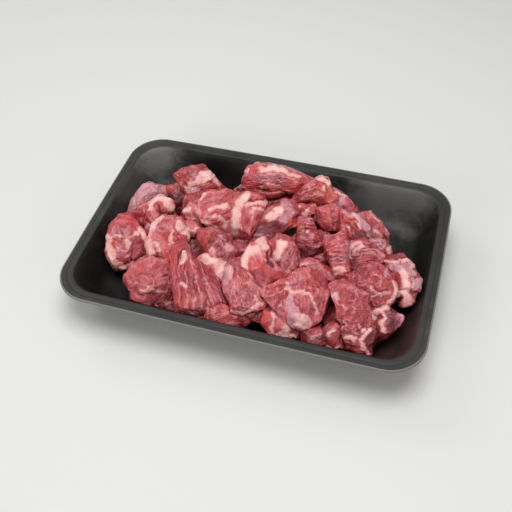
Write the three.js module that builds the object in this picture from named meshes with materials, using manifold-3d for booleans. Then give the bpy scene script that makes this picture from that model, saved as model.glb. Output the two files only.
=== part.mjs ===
// Black foam tray with a heap of diced raw red meat.
// Millimetres, +Z up, +X along the tray, origin at the centre of the tray's underside.
import * as THREE from 'three';
import { LoftGeometry } from 'three/addons/geometries/LoftGeometry.js';
import { mergeVertices } from 'three/addons/utils/BufferGeometryUtils.js';
import Module from 'manifold-3d';

// Tray
const TRAY_LENGTH = 270;
const TRAY_WIDTH = 178.8;
const TRAY_HEIGHT = 34;
const CORNER_RADIUS = 28;
const SIDE_BOW = 0.85;
const FOAM_THICKNESS = 4;
const LIP_DEPTH = 2.8;
const FLANGE_WIDTH = 7.6;
const WALL_RUN = 13.5;
const FLOOR_RADIUS = 11;
const FLOOR_CROWN = 0.3;
const ARC_STEPS = 4;
const SIDE_STEPS = 2;

// Meat
const VIEWPOINT = new THREE.Vector3(115, -337, 438);
const UP = new THREE.Vector3(0, 0, 1);
const PIECE_GAP = 0.7;
const SMALLEST_DETAIL = 0.28;
const EDGE_TENSION = 0.3;
const LUMP_HEIGHT = 0.06;
const LUMP_PITCH = 0.21;
const HEAP_CEILING = 90;
const OVERHANG = 2.4;
const WELD = 0.001;

// Bend rows from the far side to the near side, as angles off the middle plane
const BEND_ROWS = {
  large: [-84, -58, -30, 0, 30, 58, 84],
  small: [-80, -42, 0, 42, 80],
};

const TONES = {
  deep: { color: 0x86323a, roughness: 0.38 },
  lean: { color: 0x9a464a, roughness: 0.4 },
  rosy: { color: 0xa8565a, roughness: 0.42 },
  fatty: { color: 0xbb7874, roughness: 0.45 },
  lilac: { color: 0xa57a86, roughness: 0.36 },
  shade: { color: 0x6f2a30, roughness: 0.42 },
};

// Each chunk sits with its middle at `at` and turns its face to the viewpoint.
// `corners` go round that face as [right, up] steps from the middle, `deep` is how
// far it bulges toward the viewpoint and away from it, and `square` runs from about
// 4 (rounded) to 6 (boxy). Chunks on top come first and press into those after them.
const CHUNKS = {
  strip: {
    at: [61, -10, 44], deep: [8, 13], square: 5.4, tone: 'rosy',
    corners: [[-10, 13], [-1, 15], [4, 20], [7, 4], [11, -16], [4, -18], [-1, -16], [-5, -4]],
  },
  pale_oval: {
    at: [24, -20, 43], deep: [10, 13], square: 4.5, tone: 'rosy',
    corners: [[-12, 11], [-5, 16], [5, 14], [10, 5], [12, -9], [6, -15], [0, -16], [-10, -6]],
  },
  fat_band: {
    at: [-15, 12, 43], deep: [10, 15], square: 4.8, tone: 'fatty',
    corners: [
      [-8, 15], [0, 19], [10, 16], [17, 9], [12, -1],
      [7, -11], [2, -19], [-11, -18], [-14, -15], [-11, 2],
    ],
  },
  fat_ring: {
    at: [10, -34, 41], deep: [10, 15], square: 4.8, tone: 'fatty',
    corners: [
      [-14, 6], [-8, 15], [0, 21], [6, 22], [8, 7],
      [17, -3], [20, -11], [8, -14], [0, -17], [-9, -13],
    ],
  },
  silver_band: {
    at: [67, 27, 38], deep: [8, 14], square: 4.8, tone: 'lilac',
    corners: [[-14, 12], [-3, 10], [3, 10], [12, -1], [13, -9], [-4, -16], [-11, -8], [-12, 0]],
  },
  mid_marbled: {
    at: [-39, 13, 40], deep: [9, 15], square: 4.8, tone: 'rosy',
    corners: [[-9, 15], [9, 16], [16, 11], [16, -4], [9, -24], [-3, -14], [-12, -8], [-15, 2]],
  },
  purple: {
    at: [10, 17, 40], deep: [8, 14], square: 4.8, tone: 'lean',
    corners: [[-15, 6], [-1, 12], [11, 15], [15, 4], [14, -5], [3, -9], [-13, -16], [-22, -11]],
  },
  mid_fan: {
    at: [80, 0, 36], deep: [8, 13], square: 4.8, tone: 'rosy',
    corners: [[-15, 10], [-3, 14], [8, 9], [15, 2], [14, -3], [4, -7], [-3, -13], [-12, -14]],
  },
  back_hump: {
    at: [31, 54, 36], deep: [9, 15], square: 4.8, tone: 'lean',
    corners: [[-20, -5], [-11, 6], [1, 14], [8, 14], [12, 4], [16, -2], [17, -12], [1, -11], [-9, -10]],
  },
  red_ball: {
    at: [47, 28, 38], deep: [7, 11], square: 3.8, tone: 'deep',
    corners: [[-11, 9], [3, 13], [11, 6], [12, -8], [-2, -8], [-10, -3]],
  },
  back_fatcap: {
    at: [-6, 59, 38], deep: [11, 17], square: 4.8, tone: 'rosy',
    corners: [
      [-23, 9], [-14, 14], [9, 11], [21, 6], [33, 0],
      [25, -9], [11, -11], [-4, -15], [-19, -11], [-26, -5],
    ],
  },
  fat_knob: {
    at: [-54, -8, 38], deep: [5, 8], square: 3.8, tone: 'fatty',
    corners: [[-8, 4], [-2, 7], [7, 3], [8, -3], [3, -7], [-4, -4]],
  },
  fatty_fold: {
    at: [-70, -20, 35], deep: [10, 17], square: 4.8, tone: 'fatty',
    corners: [[-15, -2], [-7, 14], [2, 18], [14, 14], [21, 4], [16, -8], [4, -12], [-6, -18], [-16, -16]],
  },
  mid_red: {
    at: [-26, -23, 38], deep: [9, 14], square: 4.8, tone: 'lean',
    corners: [[-14, 16], [-3, 18], [9, 11], [14, -1], [12, -8], [6, -14], [2, -21], [-1, -12], [-11, -3]],
  },
  fat_bits: {
    at: [-25, -41, 37], deep: [5, 8], square: 4.2, tone: 'fatty',
    corners: [[-9, 10], [-3, 12], [11, 4], [13, -5], [7, -13], [-1, -5], [-9, 3]],
  },
  corner_cube: {
    at: [-72, 51, 26], deep: [11, 16], square: 6, tone: 'rosy',
    corners: [[-17, 10], [-6, 14], [8, 15], [12, 9], [24, -8], [9, -11], [-3, -22], [-8, -18]],
  },
  front_centre: {
    at: [43, -48, 33], deep: [12, 20], square: 5.1, tone: 'rosy',
    corners: [
      [-29, 5], [-18, 12], [0, 23], [9, 22], [18, 17],
      [21, 4], [15, -14], [3, -22], [-8, -18], [-18, -7],
    ],
  },
  front_right: {
    at: [80, -45, 34], deep: [9, 17], square: 5.4, tone: 'rosy',
    corners: [[-18, 14], [-8, 19], [2, 13], [10, 10], [13, -2], [13, -12], [6, -16], [-3, -16], [-9, -9]],
  },
  centre_left: {
    at: [1, -52, 33], deep: [10, 17], square: 4.8, tone: 'rosy',
    corners: [[-9, 21], [1, 25], [7, 11], [16, 1], [19, -10], [10, -14], [0, -16], [-8, -14], [-13, 6]],
  },
  right_marbled: {
    at: [94, -22, 33], deep: [10, 17], square: 4.8, tone: 'rosy',
    corners: [
      [-24, 3], [-16, 10], [-7, 17], [4, 15], [10, 8],
      [14, -1], [11, -12], [1, -18], [-7, -16], [-10, -7],
    ],
  },
  silver_twist: {
    at: [111, -9, 31], deep: [9, 15], square: 4.5, tone: 'lilac',
    corners: [
      [-17, 12], [-5, 19], [2, 13], [6, 8], [12, 2],
      [12, -5], [9, -15], [2, -21], [-3, -17], [-10, -6],
    ],
  },
  fat_curl: {
    at: [-88, 8, 32], deep: [7, 12], square: 4.2, tone: 'fatty',
    corners: [[-5, 8], [5, 12], [14, 6], [13, -2], [5, -5], [-4, -12], [-13, -19], [-14, -11], [-8, 0]],
  },
  left_round: {
    at: [-103, -25, 27], deep: [11, 19], square: 4.8, tone: 'rosy',
    corners: [[1, 22], [9, 20], [14, 9], [19, -3], [14, -17], [-1, -20], [-12, -20], [-17, -3], [-8, 15]],
  },
  front_fibre: {
    at: [-33, -55, 29], deep: [13, 20], square: 4.8, tone: 'lean',
    corners: [
      [-14, 30], [-7, 36], [-1, 34], [3, 23], [15, 12],
      [21, -3], [25, -23], [6, -21], [-8, -21], [-17, -13],
    ],
  },
  pink_fold: {
    at: [89, 17, 30], deep: [6, 12], square: 4.5, tone: 'lilac',
    corners: [[-13, 6], [2, 7], [8, 2], [12, -7], [4, -12], [-10, -5]],
  },
  centre_cube: {
    at: [36, 5, 37], deep: [9, 15], square: 5.4, tone: 'deep',
    corners: [[-7, 17], [2, 16], [7, 5], [13, -9], [6, -13], [-5, -17], [-11, -9], [-9, 3]],
  },
  pink_saddle: {
    at: [49, -20, 36], deep: [5, 11], square: 4.5, tone: 'rosy',
    corners: [[-17, 6], [-6, 9], [5, 4], [14, -1], [13, -13], [1, -6], [-14, -4]],
  },
  pale_wedge: {
    at: [-57, 7, 37], deep: [5, 10], square: 4.2, tone: 'fatty',
    corners: [[-7, 4], [-1, 10], [7, 6], [7, -11], [-5, -8]],
  },
  fat_scraps: {
    at: [28, 29, 38], deep: [4, 9], square: 4.2, tone: 'fatty',
    corners: [[-8, 8], [7, 8], [10, -1], [6, -8], [-7, -9]],
  },
  back_shoulder: {
    at: [52, 56, 30], deep: [7, 13], square: 4.5, tone: 'fatty',
    corners: [[-11, 12], [-3, 9], [5, 3], [14, -8], [3, -11], [-9, -5]],
  },
  right_block: {
    at: [81, 38, 28], deep: [8, 14], square: 5.4, tone: 'rosy',
    corners: [[-13, 10], [-6, 13], [11, -3], [11, -11], [-2, -14], [-8, -2]],
  },
  lilac_slab: {
    at: [-108, 30, 22], deep: [8, 15], square: 5.1, tone: 'lilac',
    corners: [[-1, 11], [9, 9], [21, 3], [17, -2], [1, -11], [-5, -15], [-21, -12], [-10, 2]],
  },
  small_wedge: {
    at: [-100, 0, 30], deep: [5, 12], square: 4.2, tone: 'shade',
    corners: [[-10, 7], [9, 9], [9, -3], [-1, -12], [-7, -8]],
  },
  dark_back: {
    at: [-81, 33, 22], deep: [6, 12], square: 4.2, tone: 'shade',
    corners: [[-7, 12], [3, 15], [11, -8], [3, -15], [-7, -8]],
  },
  back_tail: {
    at: [-31, 51, 28], deep: [4, 10], square: 4.2, tone: 'deep',
    corners: [[-7, 2], [6, 7], [8, -5], [-8, -6]],
  },
  small_tail: {
    at: [-62, -37, 30], deep: [4, 8], square: 4.2, tone: 'deep',
    corners: [[-4, 11], [5, 10], [1, -15], [-3, -4]],
  },
  front_left: {
    at: [-73, -53, 21], deep: [12, 18], square: 4.8, tone: 'lean',
    corners: [[-16, 9], [-9, 16], [7, 17], [18, 12], [20, 1], [15, -16], [4, -20], [-5, -18], [-16, -9]],
  },
  right_corner: {
    at: [103, -46, 20], deep: [9, 14], square: 4.8, tone: 'lean',
    corners: [
      [-13, 11], [-2, 17], [5, 13], [13, 10], [12, 3],
      [-2, -13], [-6, -21], [-11, -15], [-8, -5],
    ],
  },
  front_right_low: {
    at: [89, -63, 22], deep: [7, 12], square: 5.1, tone: 'rosy',
    corners: [[-14, 9], [-3, 12], [8, 14], [12, 7], [10, -12], [0, -9], [-8, -8], [-11, 0]],
  },
  front_toe: {
    at: [-8, -69, 22], deep: [6, 12], square: 4.5, tone: 'lean',
    corners: [[-13, 7], [0, 13], [9, 5], [12, -3], [11, -8], [1, -8], [-15, -3]],
  },
  bottom_fatty: {
    at: [32, -66, 20], deep: [7, 12], square: 4.8, tone: 'fatty',
    corners: [[-10, 11], [-5, 17], [7, 6], [18, -3], [13, -8], [5, -10], [-6, -6], [-12, 4]],
  },
  bottom_red: {
    at: [70, -63, 20], deep: [7, 12], square: 4.5, tone: 'lean',
    corners: [[-7, 4], [1, 11], [11, 4], [11, -8], [1, -10], [-7, -7]],
  },
  bottom_pink: {
    at: [57, -67, 19], deep: [6, 11], square: 4.2, tone: 'lilac',
    corners: [[-9, 6], [6, 10], [9, -7], [0, -7], [-7, -4]],
  },
  bottom_left: {
    at: [-49, -71, 20], deep: [4, 9], square: 4.2, tone: 'shade',
    corners: [[-8, 7], [7, 4], [8, -6], [-4, -3]],
  },
  under_front: {
    at: [9, -64, 20], deep: [5, 11], square: 4.2, tone: 'shade',
    corners: [[-15, 4], [11, 8], [14, -6], [3, -2], [-8, -10]],
  },
};

// Chunks of the lower layer lie on the tray's floor and show in the dark gaps.
const LOWER = {
  low_left: { at: [-92, 7, 16], reach: [22, 18], deep: [14, 13] },
  low_back_left: { at: [-58, 32, 17], reach: [21, 19], deep: [15, 14] },
  low_back: { at: [-8, 50, 18], reach: [26, 18], deep: [16, 15] },
  low_back_right: { at: [42, 42, 17], reach: [26, 19], deep: [15, 14] },
  low_right: { at: [80, 12, 16], reach: [20, 22], deep: [14, 13] },
  low_mid_left: { at: [-50, -12, 17], reach: [24, 24], deep: [16, 14] },
  low_middle: { at: [-8, 6, 19], reach: [27, 27], deep: [17, 16] },
  low_mid_right: { at: [40, 2, 19], reach: [27, 25], deep: [17, 16] },
  low_front: { at: [28, -42, 16], reach: [29, 19], deep: [14, 13] },
  low_front_right: { at: [80, -38, 16], reach: [23, 18], deep: [14, 13] },
};
const LOWER_SIDES = 7;
const LOWER_SQUARE = 3.4;

const wasm = await Module();
wasm.setup();

function toManifold(geometry) {
  const bare = new THREE.BufferGeometry();
  bare.setAttribute('position', geometry.attributes.position);
  bare.setIndex(geometry.index);
  const welded = mergeVertices(bare, WELD);
  return new wasm.Manifold(new wasm.Mesh({
    numProp: 3,
    vertProperties: new Float32Array(welded.attributes.position.array),
    triVerts: new Uint32Array(welded.index.array),
  }));
}

function toGeometry(solid) {
  const mesh = solid.getMesh();
  const geometry = new THREE.BufferGeometry();
  geometry.setAttribute('position', new THREE.BufferAttribute(mesh.vertProperties, 3));
  geometry.setIndex(new THREE.BufferAttribute(mesh.triVerts, 1));
  geometry.computeVertexNormals();
  return geometry;
}

function largestPart(solid) {
  const parts = solid.decompose();
  return parts.reduce((best, part) => (part.volume() > best.volume() ? part : best));
}

function addMesh(group, name, geometry, tone) {
  const material = new THREE.MeshStandardMaterial({ ...tone, metalness: 0 });
  const mesh = new THREE.Mesh(geometry, material);
  mesh.name = name;
  group.add(mesh);
}

// A tray ring is a rounded rectangle drawn in from the rim's outline, its sides bowed out.
function trayRing(inset, z) {
  const halfLength = TRAY_LENGTH / 2 - SIDE_BOW - inset;
  const halfWidth = TRAY_WIDTH / 2 - SIDE_BOW - inset;
  const radius = Math.max(CORNER_RADIUS - 0.45 * inset, 6);
  const ring = [];
  for (let corner = 0; corner < 4; corner++) {
    const sideX = corner === 0 || corner === 3 ? 1 : -1;
    const sideY = corner < 2 ? 1 : -1;
    const middle = new THREE.Vector2(sideX * (halfLength - radius), sideY * (halfWidth - radius));
    for (let step = 0; step <= ARC_STEPS; step++) {
      const angle = (corner + step / ARC_STEPS) * Math.PI / 2;
      const x = middle.x + radius * Math.cos(angle);
      const y = middle.y + radius * Math.sin(angle);
      ring.push(new THREE.Vector3(x, y, z));
    }
  }
  return bowSides(ring, halfLength, halfWidth);
}

function bowSides(ring, halfLength, halfWidth) {
  const bowed = [];
  ring.forEach((point, index) => {
    bowed.push(point);
    if (index % (ARC_STEPS + 1) === ARC_STEPS) {
      const next = ring[(index + 1) % ring.length];
      for (let step = 1; step < SIDE_STEPS * 2; step++) {
        bowed.push(point.clone().lerp(next, step / (SIDE_STEPS * 2)));
      }
    }
  });
  bowed.forEach((point) => {
    const alongX = 1 - (point.x / halfLength) ** 2;
    const alongY = 1 - (point.y / halfWidth) ** 2;
    point.x += Math.sign(point.x) * SIDE_BOW * Math.max(alongY, 0);
    point.y += Math.sign(point.y) * SIDE_BOW * Math.max(alongX, 0);
  });
  return bowed;
}

// The wall as [inset, z] stations from the floor's edge up to the flange.
function wallStations(offset, floorZ, topZ) {
  const foot = FLANGE_WIDTH + WALL_RUN + offset;
  return [
    [foot + FLOOR_RADIUS, floorZ],
    [foot + FLOOR_RADIUS * 0.45, floorZ + 0.8],
    [foot - 0.5, floorZ + 3.6],
    [foot - 4, floorZ + 9],
    [FLANGE_WIDTH + offset + 3.4, topZ - 6],
    [FLANGE_WIDTH + offset + 1.9, topZ - 2.6],
  ];
}

function tray() {
  const outside = wallStations(-FOAM_THICKNESS, 0, TRAY_HEIGHT - LIP_DEPTH);
  const inside = wallStations(0, FOAM_THICKNESS, TRAY_HEIGHT);
  const stations = [
    ...outside,
    [FLANGE_WIDTH - FOAM_THICKNESS + 0.8, TRAY_HEIGHT - LIP_DEPTH - 0.6],
    [0.5, TRAY_HEIGHT - LIP_DEPTH],
    [0, TRAY_HEIGHT - LIP_DEPTH + 0.6],
    [0, TRAY_HEIGHT - 0.7],
    [0.7, TRAY_HEIGHT],
    [FLANGE_WIDTH - 1.8, TRAY_HEIGHT],
    [FLANGE_WIDTH + 0.2, TRAY_HEIGHT - 0.7],
    ...inside.reverse(),
    [FLANGE_WIDTH + WALL_RUN + 3 * FLOOR_RADIUS, FOAM_THICKNESS + FLOOR_CROWN],
  ];
  const rings = stations.map(([inset, z]) => trayRing(inset, z));
  return new LoftGeometry(rings, { capStart: true, capEnd: true });
}

// The room the meat may fill: the tray's hollow, drawn in by the gap, and the air above it,
// which reaches a little over the flange.
function heapRoom() {
  const stations = wallStations(PIECE_GAP, FOAM_THICKNESS + PIECE_GAP, TRAY_HEIGHT);
  stations.push([FLANGE_WIDTH - 0.3, TRAY_HEIGHT + PIECE_GAP]);
  stations.push([FLANGE_WIDTH - OVERHANG, TRAY_HEIGHT + 2 * PIECE_GAP]);
  stations.push([FLANGE_WIDTH - OVERHANG, HEAP_CEILING]);
  const rings = stations.map(([inset, z]) => trayRing(inset, z));
  return toManifold(new LoftGeometry(rings, { capStart: true, capEnd: true }));
}

function outlineOf(corners, steps) {
  const points = corners.map(([right, up]) => new THREE.Vector3(right, up, 0));
  const curve = new THREE.CatmullRomCurve3(points, true, 'catmullrom', EDGE_TENSION);
  const total = corners.length * steps;
  return Array.from({ length: total }, (_, index) => curve.getPoint(index / total));
}

function lump(point) {
  const x = point.x * LUMP_PITCH;
  const y = point.y * LUMP_PITCH;
  const z = point.z * LUMP_PITCH;
  return Math.sin(x + 1.7 * y) * Math.cos(1.3 * z - 0.6 * x) + 0.5 * Math.sin(2.1 * y - 1.4 * z);
}

// One chunk: its outline shrinks row by row toward both faces, and `grow` thickens it all round.
function chunkGeometry(chunk, facing, grow) {
  const middle = new THREE.Vector3(...chunk.at);
  const right = new THREE.Vector3().crossVectors(UP, facing).normalize();
  const up = new THREE.Vector3().crossVectors(facing, right);
  const clockwise = THREE.ShapeUtils.isClockWise(chunk.corners.map(([x, y]) => new THREE.Vector2(x, y)));
  const corners = clockwise ? [...chunk.corners].reverse() : chunk.corners;
  const outline = outlineOf(corners, chunk.steps);
  const power = 2 / chunk.square;
  const sections = BEND_ROWS[chunk.rows].map((degrees) => {
    const angle = THREE.MathUtils.degToRad(degrees);
    const width = Math.cos(angle) ** power;
    const bulge = Math.abs(Math.sin(angle)) ** power;
    const depth = (degrees > 0 ? chunk.deep[0] : -chunk.deep[1]) * bulge;
    return outline.map((edge) => {
      const step = edge.clone().multiplyScalar(width);
      const point = middle.clone().addScaledVector(right, step.x).addScaledVector(up, step.y);
      point.addScaledVector(facing, depth);
      const arm = point.clone().sub(middle);
      const swell = LUMP_HEIGHT * lump(point) * bulge;
      return middle.clone().addScaledVector(arm, 1 + swell + grow / arm.length());
    });
  });
  return new LoftGeometry(sections, { capStart: true, capEnd: true });
}

function lowerCorners([reachX, reachY], turn) {
  return Array.from({ length: LOWER_SIDES }, (_, index) => {
    const angle = (index + turn) / LOWER_SIDES * Math.PI * 2;
    const wobble = 1 + 0.1 * Math.sin(3 * index + 5 * turn);
    return [reachX * wobble * Math.cos(angle), reachY * wobble * Math.sin(angle)];
  });
}

function allChunks() {
  const upper = Object.entries(CHUNKS).map(([name, chunk]) => {
    const facing = VIEWPOINT.clone().sub(new THREE.Vector3(...chunk.at)).normalize();
    const wide = Math.max(...chunk.corners.map((corner) => Math.hypot(...corner)));
    const rows = wide > 19 ? 'large' : 'small';
    return { name, facing, chunk: { ...chunk, rows, steps: wide > 24 ? 2 : 1 } };
  });
  const lower = Object.entries(LOWER).map(([name, chunk], index) => {
    const corners = lowerCorners(chunk.reach, index * 0.37);
    const facing = new THREE.Vector3(0, -0.02, 1).normalize();
    const shape = { corners, rows: 'small', steps: 1, square: LOWER_SQUARE };
    return { name, facing, chunk: { ...chunk, ...shape, tone: 'shade' } };
  });
  return [...upper, ...lower];
}

const group = new THREE.Group();
group.name = 'meat_tray_pack';
addMesh(group, 'tray', tray(), { color: 0x2c2a2a, roughness: 0.62 });

const room = heapRoom();
let taken = null;
for (const { name, facing, chunk } of allChunks()) {
  let solid = toManifold(chunkGeometry(chunk, facing, 0)).intersect(room);
  if (taken) {
    solid = solid.subtract(taken);
  }
  solid = largestPart(solid.simplify(SMALLEST_DETAIL));
  addMesh(group, name, toGeometry(solid), TONES[chunk.tone]);
  const swollen = toManifold(chunkGeometry(chunk, facing, PIECE_GAP));
  taken = taken ? taken.add(swollen) : swollen;
}

export default group;
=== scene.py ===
import itertools
import math

import bpy
import numpy as np
from mathutils import Matrix, Vector


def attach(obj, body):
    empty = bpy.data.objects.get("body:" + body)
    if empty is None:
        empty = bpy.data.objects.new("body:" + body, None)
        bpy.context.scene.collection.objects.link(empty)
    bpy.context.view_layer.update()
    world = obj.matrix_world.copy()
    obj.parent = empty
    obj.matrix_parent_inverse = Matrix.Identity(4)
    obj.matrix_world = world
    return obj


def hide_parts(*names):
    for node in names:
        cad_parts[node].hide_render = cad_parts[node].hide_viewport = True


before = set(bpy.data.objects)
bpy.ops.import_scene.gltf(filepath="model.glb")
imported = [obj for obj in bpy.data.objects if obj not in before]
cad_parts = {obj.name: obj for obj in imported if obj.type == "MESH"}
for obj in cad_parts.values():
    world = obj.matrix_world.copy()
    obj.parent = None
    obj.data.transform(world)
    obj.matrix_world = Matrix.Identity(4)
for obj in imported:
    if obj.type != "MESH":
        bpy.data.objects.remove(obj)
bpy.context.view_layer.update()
mm = 0.001
print("frame loaded with", len(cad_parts), "nodes")


def addObject(name, data):
    made = bpy.data.objects.new(name, data)
    bpy.context.collection.objects.link(made)
    return made


def storeFields(mesh, fields):
    for kind, field in fields.items():
        made = mesh.attributes.new(kind, "FLOAT", "POINT")
        made.data.foreach_set("value", np.array(field, np.float32))


# Camera, at the photograph's angle
camera = {
    "place": (0.11519, -0.33706, 0.43843),
    "right": (0.95634, 0.28953, -0.03986),
    "up": (-0.19777, 0.74153, 0.64111),
    "lens": 49.77,
    "sensor": 36,
}


def makeCamera():
    right, up = Vector(camera["right"]), Vector(camera["up"])
    data = bpy.data.cameras.new("photoCamera")
    data.lens = camera["lens"]
    data.sensor_width = camera["sensor"]
    made = addObject("photoCamera", data)
    turn = Matrix((right, up, right.cross(up))).transposed().to_4x4()
    made.matrix_world = Matrix.Translation(camera["place"]) @ turn
    bpy.context.scene.camera = made


# Studio: pale floor, soft light all round and four soft boxes: overhead, back left, right, front
studio = {
    "floorSize": 6.0,
    "floorColour": (0.66, 0.66, 0.65, 1),
    "floorRoughness": 0.8,
    "airColour": (1.0, 0.99, 0.98, 1),
    "airLight": 0.32,
    "softBoxes": [
        # place, aimed at, size, watts
        ((0.05, -0.02, 1.0), (0, 0, 0.03), 0.6, 7.6),
        ((-0.75, 0.45, 0.7), (0, 0, 0.03), 0.5, 2.0),
        ((0.95, -0.6, 0.36), (0, 0, 0.02), 0.6, 2.2),
        ((-0.45, -1.05, 0.4), (0, 0, 0.02), 0.6, 5.0),
    ],
}


def makeStudio():
    half = studio["floorSize"] / 2
    mesh = bpy.data.meshes.new("studioFloor")
    corners = [(-half, -half, 0), (half, -half, 0), (half, half, 0), (-half, half, 0)]
    mesh.from_pydata(corners, [], [(0, 1, 2, 3)])
    floor = addObject("studioFloor", mesh)
    paper = bench("palePaper")
    paper.shade({"Base Color": studio["floorColour"], "Roughness": studio["floorRoughness"]})
    mesh.materials.append(paper.material)

    world = bpy.data.worlds.new("studioAir")
    bpy.context.scene.world = world
    world.use_nodes = True
    air = world.node_tree.nodes["Background"]
    air.inputs["Color"].default_value = studio["airColour"]
    air.inputs["Strength"].default_value = studio["airLight"]

    for number, (place, target, size, watts) in enumerate(studio["softBoxes"]):
        data = bpy.data.lights.new(f"softBox{number}", "AREA")
        data.size = size
        data.energy = watts
        lamp = addObject(data.name, data)
        lamp.location = place
        aim = Vector(target) - Vector(place)
        lamp.rotation_euler = aim.to_track_quat("-Z", "Y").to_euler()
    bpy.context.scene.view_settings.view_transform = "Standard"


# Shader maths: a wire is a socket that adds Math nodes when it is used in an expression
class wire:
    def __init__(self, table, socket):
        self.table = table
        self.socket = socket

    def maths(self, operation, first, second):
        return self.table.node("ShaderNodeMath", {"operation": operation}, {0: first, 1: second})

    def __add__(self, other):
        return self.maths("ADD", self, other)

    __radd__ = __add__

    def __sub__(self, other):
        return self.maths("SUBTRACT", self, other)

    def __rsub__(self, other):
        return self.maths("SUBTRACT", other, self)

    def __mul__(self, other):
        return self.maths("MULTIPLY", self, other)

    __rmul__ = __mul__

    def step(self, low, high):
        # 0 below low, 1 above high, and smooth between them
        settings = {"interpolation_type": "SMOOTHSTEP"}
        return self.table.node("ShaderNodeMapRange", settings, {0: self, 1: low, 2: high})


class bench:
    def __init__(self, name):
        self.material = bpy.data.materials.new(name)
        self.material.use_nodes = True
        self.tree = self.material.node_tree
        self.tree.nodes.clear()

    def node(self, kind, settings, sockets, output=0):
        made = self.tree.nodes.new(kind)
        for key, value in settings.items():
            setattr(made, key, value)
        for key, value in sockets.items():
            if isinstance(value, wire):
                self.tree.links.new(value.socket, made.inputs[key])
            else:
                made.inputs[key].default_value = value
        return wire(self, made.outputs[output]) if output is not None else None

    def value(self, name):
        return self.node("ShaderNodeAttribute", {"attribute_name": name}, {}, "Fac")

    def vector(self, name, scale):
        found = self.node("ShaderNodeAttribute", {"attribute_name": name}, {}, "Vector")
        return self.node("ShaderNodeVectorMath", {"operation": "MULTIPLY"}, {0: found, 1: scale})

    def noise(self, where, scale, detail, roughness):
        sockets = {"Vector": where, "Scale": scale, "Detail": detail, "Roughness": roughness}
        return self.node("ShaderNodeTexNoise", {}, sockets, "Fac")

    def cells(self, where, scale):
        sockets = {"Vector": where, "Scale": scale}
        return self.node("ShaderNodeTexVoronoi", {"feature": "F1"}, sockets, "Distance")

    def blend(self, amount, first, second):
        return self.node("ShaderNodeMix", {"data_type": "RGBA"}, {0: amount, 6: first, 7: second}, 2)

    def bump(self, height, depth):
        return self.node("ShaderNodeBump", {}, {"Height": height, "Distance": depth, "Strength": 1.0})

    def shade(self, sockets):
        surface = self.node("ShaderNodeBsdfPrincipled", {}, sockets)
        self.node("ShaderNodeOutputMaterial", {}, {"Surface": surface}, None)


# Foam tray, in mm
trayShape = {
    "length": 271.8,
    "width": 180.4,
    "height": 34.0,
    "cornerRadius": 26.0,
    "cornerLeast": 6.0,
    "cornerShrink": 0.45,
    "sideBow": 0.85,
    "foam": 4.0,
    "lip": 2.8,
    "flange": 8.5,
    "grooveAt": 4.3,
    "grooveHalf": 0.5,
    "grooveDepth": 0.5,
    "wallRun": 13.5,
    "floorRadius": 11.0,
    "edge": 1.0,
    "cornerSteps": 16,
    "sideSteps": 12,
    "softenings": 2,
}

foamLook = {
    "black": (0.0045, 0.0045, 0.0042, 1),
    "worn": (0.019, 0.0186, 0.0176, 1),
    "scuffed": (0.07, 0.068, 0.064, 1),
    # painted sheen of the lamps on the walls, with some real rubbing
    "sheenAndRubbed": (0.15, 0.146, 0.143, 1),
    "flange": (0.06, 0.059, 0.057, 1),
    # painted highlight along the flange's outer edge
    "edgeHighlight": (0.2, 0.197, 0.19, 1),
    # a reddish tint for one spot low on the right wall near the front
    "reddish": (0.11, 0.05, 0.048, 1),
    "wallSpots": [
        # spots on the inner walls: place, reach, strength, colour. The first four paint the lamps' sheen
        # on the back and left walls, the back-right one with some real rubbing in it; the last is a
        # reddish patch low on the right wall near the front
        ((-0.118, 0.073, 0.026), 0.036, 0.95, "sheenAndRubbed"),
        ((0.088, 0.077, 0.028), 0.055, 0.75, "sheenAndRubbed"),
        ((-0.126, 0.035, 0.024), 0.045, 0.35, "sheenAndRubbed"),
        ((0.0, 0.078, 0.026), 0.06, 0.25, "sheenAndRubbed"),
        ((0.122, -0.058, 0.018), 0.055, 0.5, "reddish"),
    ],
    # noises: scale, detail, roughness
    "grit": (2200, 3.0, 0.6),
    "patches": (45, 3.0, 0.55),
    "smears": (260, 4.0, 0.7),
    "scuffRun": (70, 70, 1500),
    # where each wear, and the painted sheen of the wall spots, begins and is full
    "wornRange": (0.05, 0.75),
    "scuffRange": (0.6, 0.78),
    "spotRange": (0.1, 0.9),
    "roughness": 0.5,
    "index": 1.45,
    "sheen": 0.24,
    "beadSize": 1.1,
    "beadDepth": 0.06,
}


def trayRing(inset, z):
    shape = trayShape
    halfLength = shape["length"] / 2 - shape["sideBow"] - inset
    halfWidth = shape["width"] / 2 - shape["sideBow"] - inset
    radius = max(shape["cornerRadius"] - shape["cornerShrink"] * inset, shape["cornerLeast"])
    ring = []
    for corner, (sideX, sideY) in enumerate([(1, 1), (-1, 1), (-1, -1), (1, -1)]):
        for step in range(shape["cornerSteps"] + 1):
            angle = (corner + step / shape["cornerSteps"]) * math.pi / 2
            x = sideX * (halfLength - radius) + radius * math.cos(angle)
            y = sideY * (halfWidth - radius) + radius * math.sin(angle)
            ring.append((x, y))
    full = []
    for index, start in enumerate(ring):
        full.append(start)
        if index % (shape["cornerSteps"] + 1) == shape["cornerSteps"]:
            end = ring[(index + 1) % len(ring)]
            for step in range(1, shape["sideSteps"]):
                share = step / shape["sideSteps"]
                full.append(tuple(a + (b - a) * share for a, b in zip(start, end)))
    bowed = []
    for x, y in full:
        bowX = shape["sideBow"] * max(1 - (y / halfWidth) ** 2, 0)
        bowY = shape["sideBow"] * max(1 - (x / halfLength) ** 2, 0)
        bowed.append((x + math.copysign(bowX, x), y + math.copysign(bowY, y), z))
    return bowed


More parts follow.
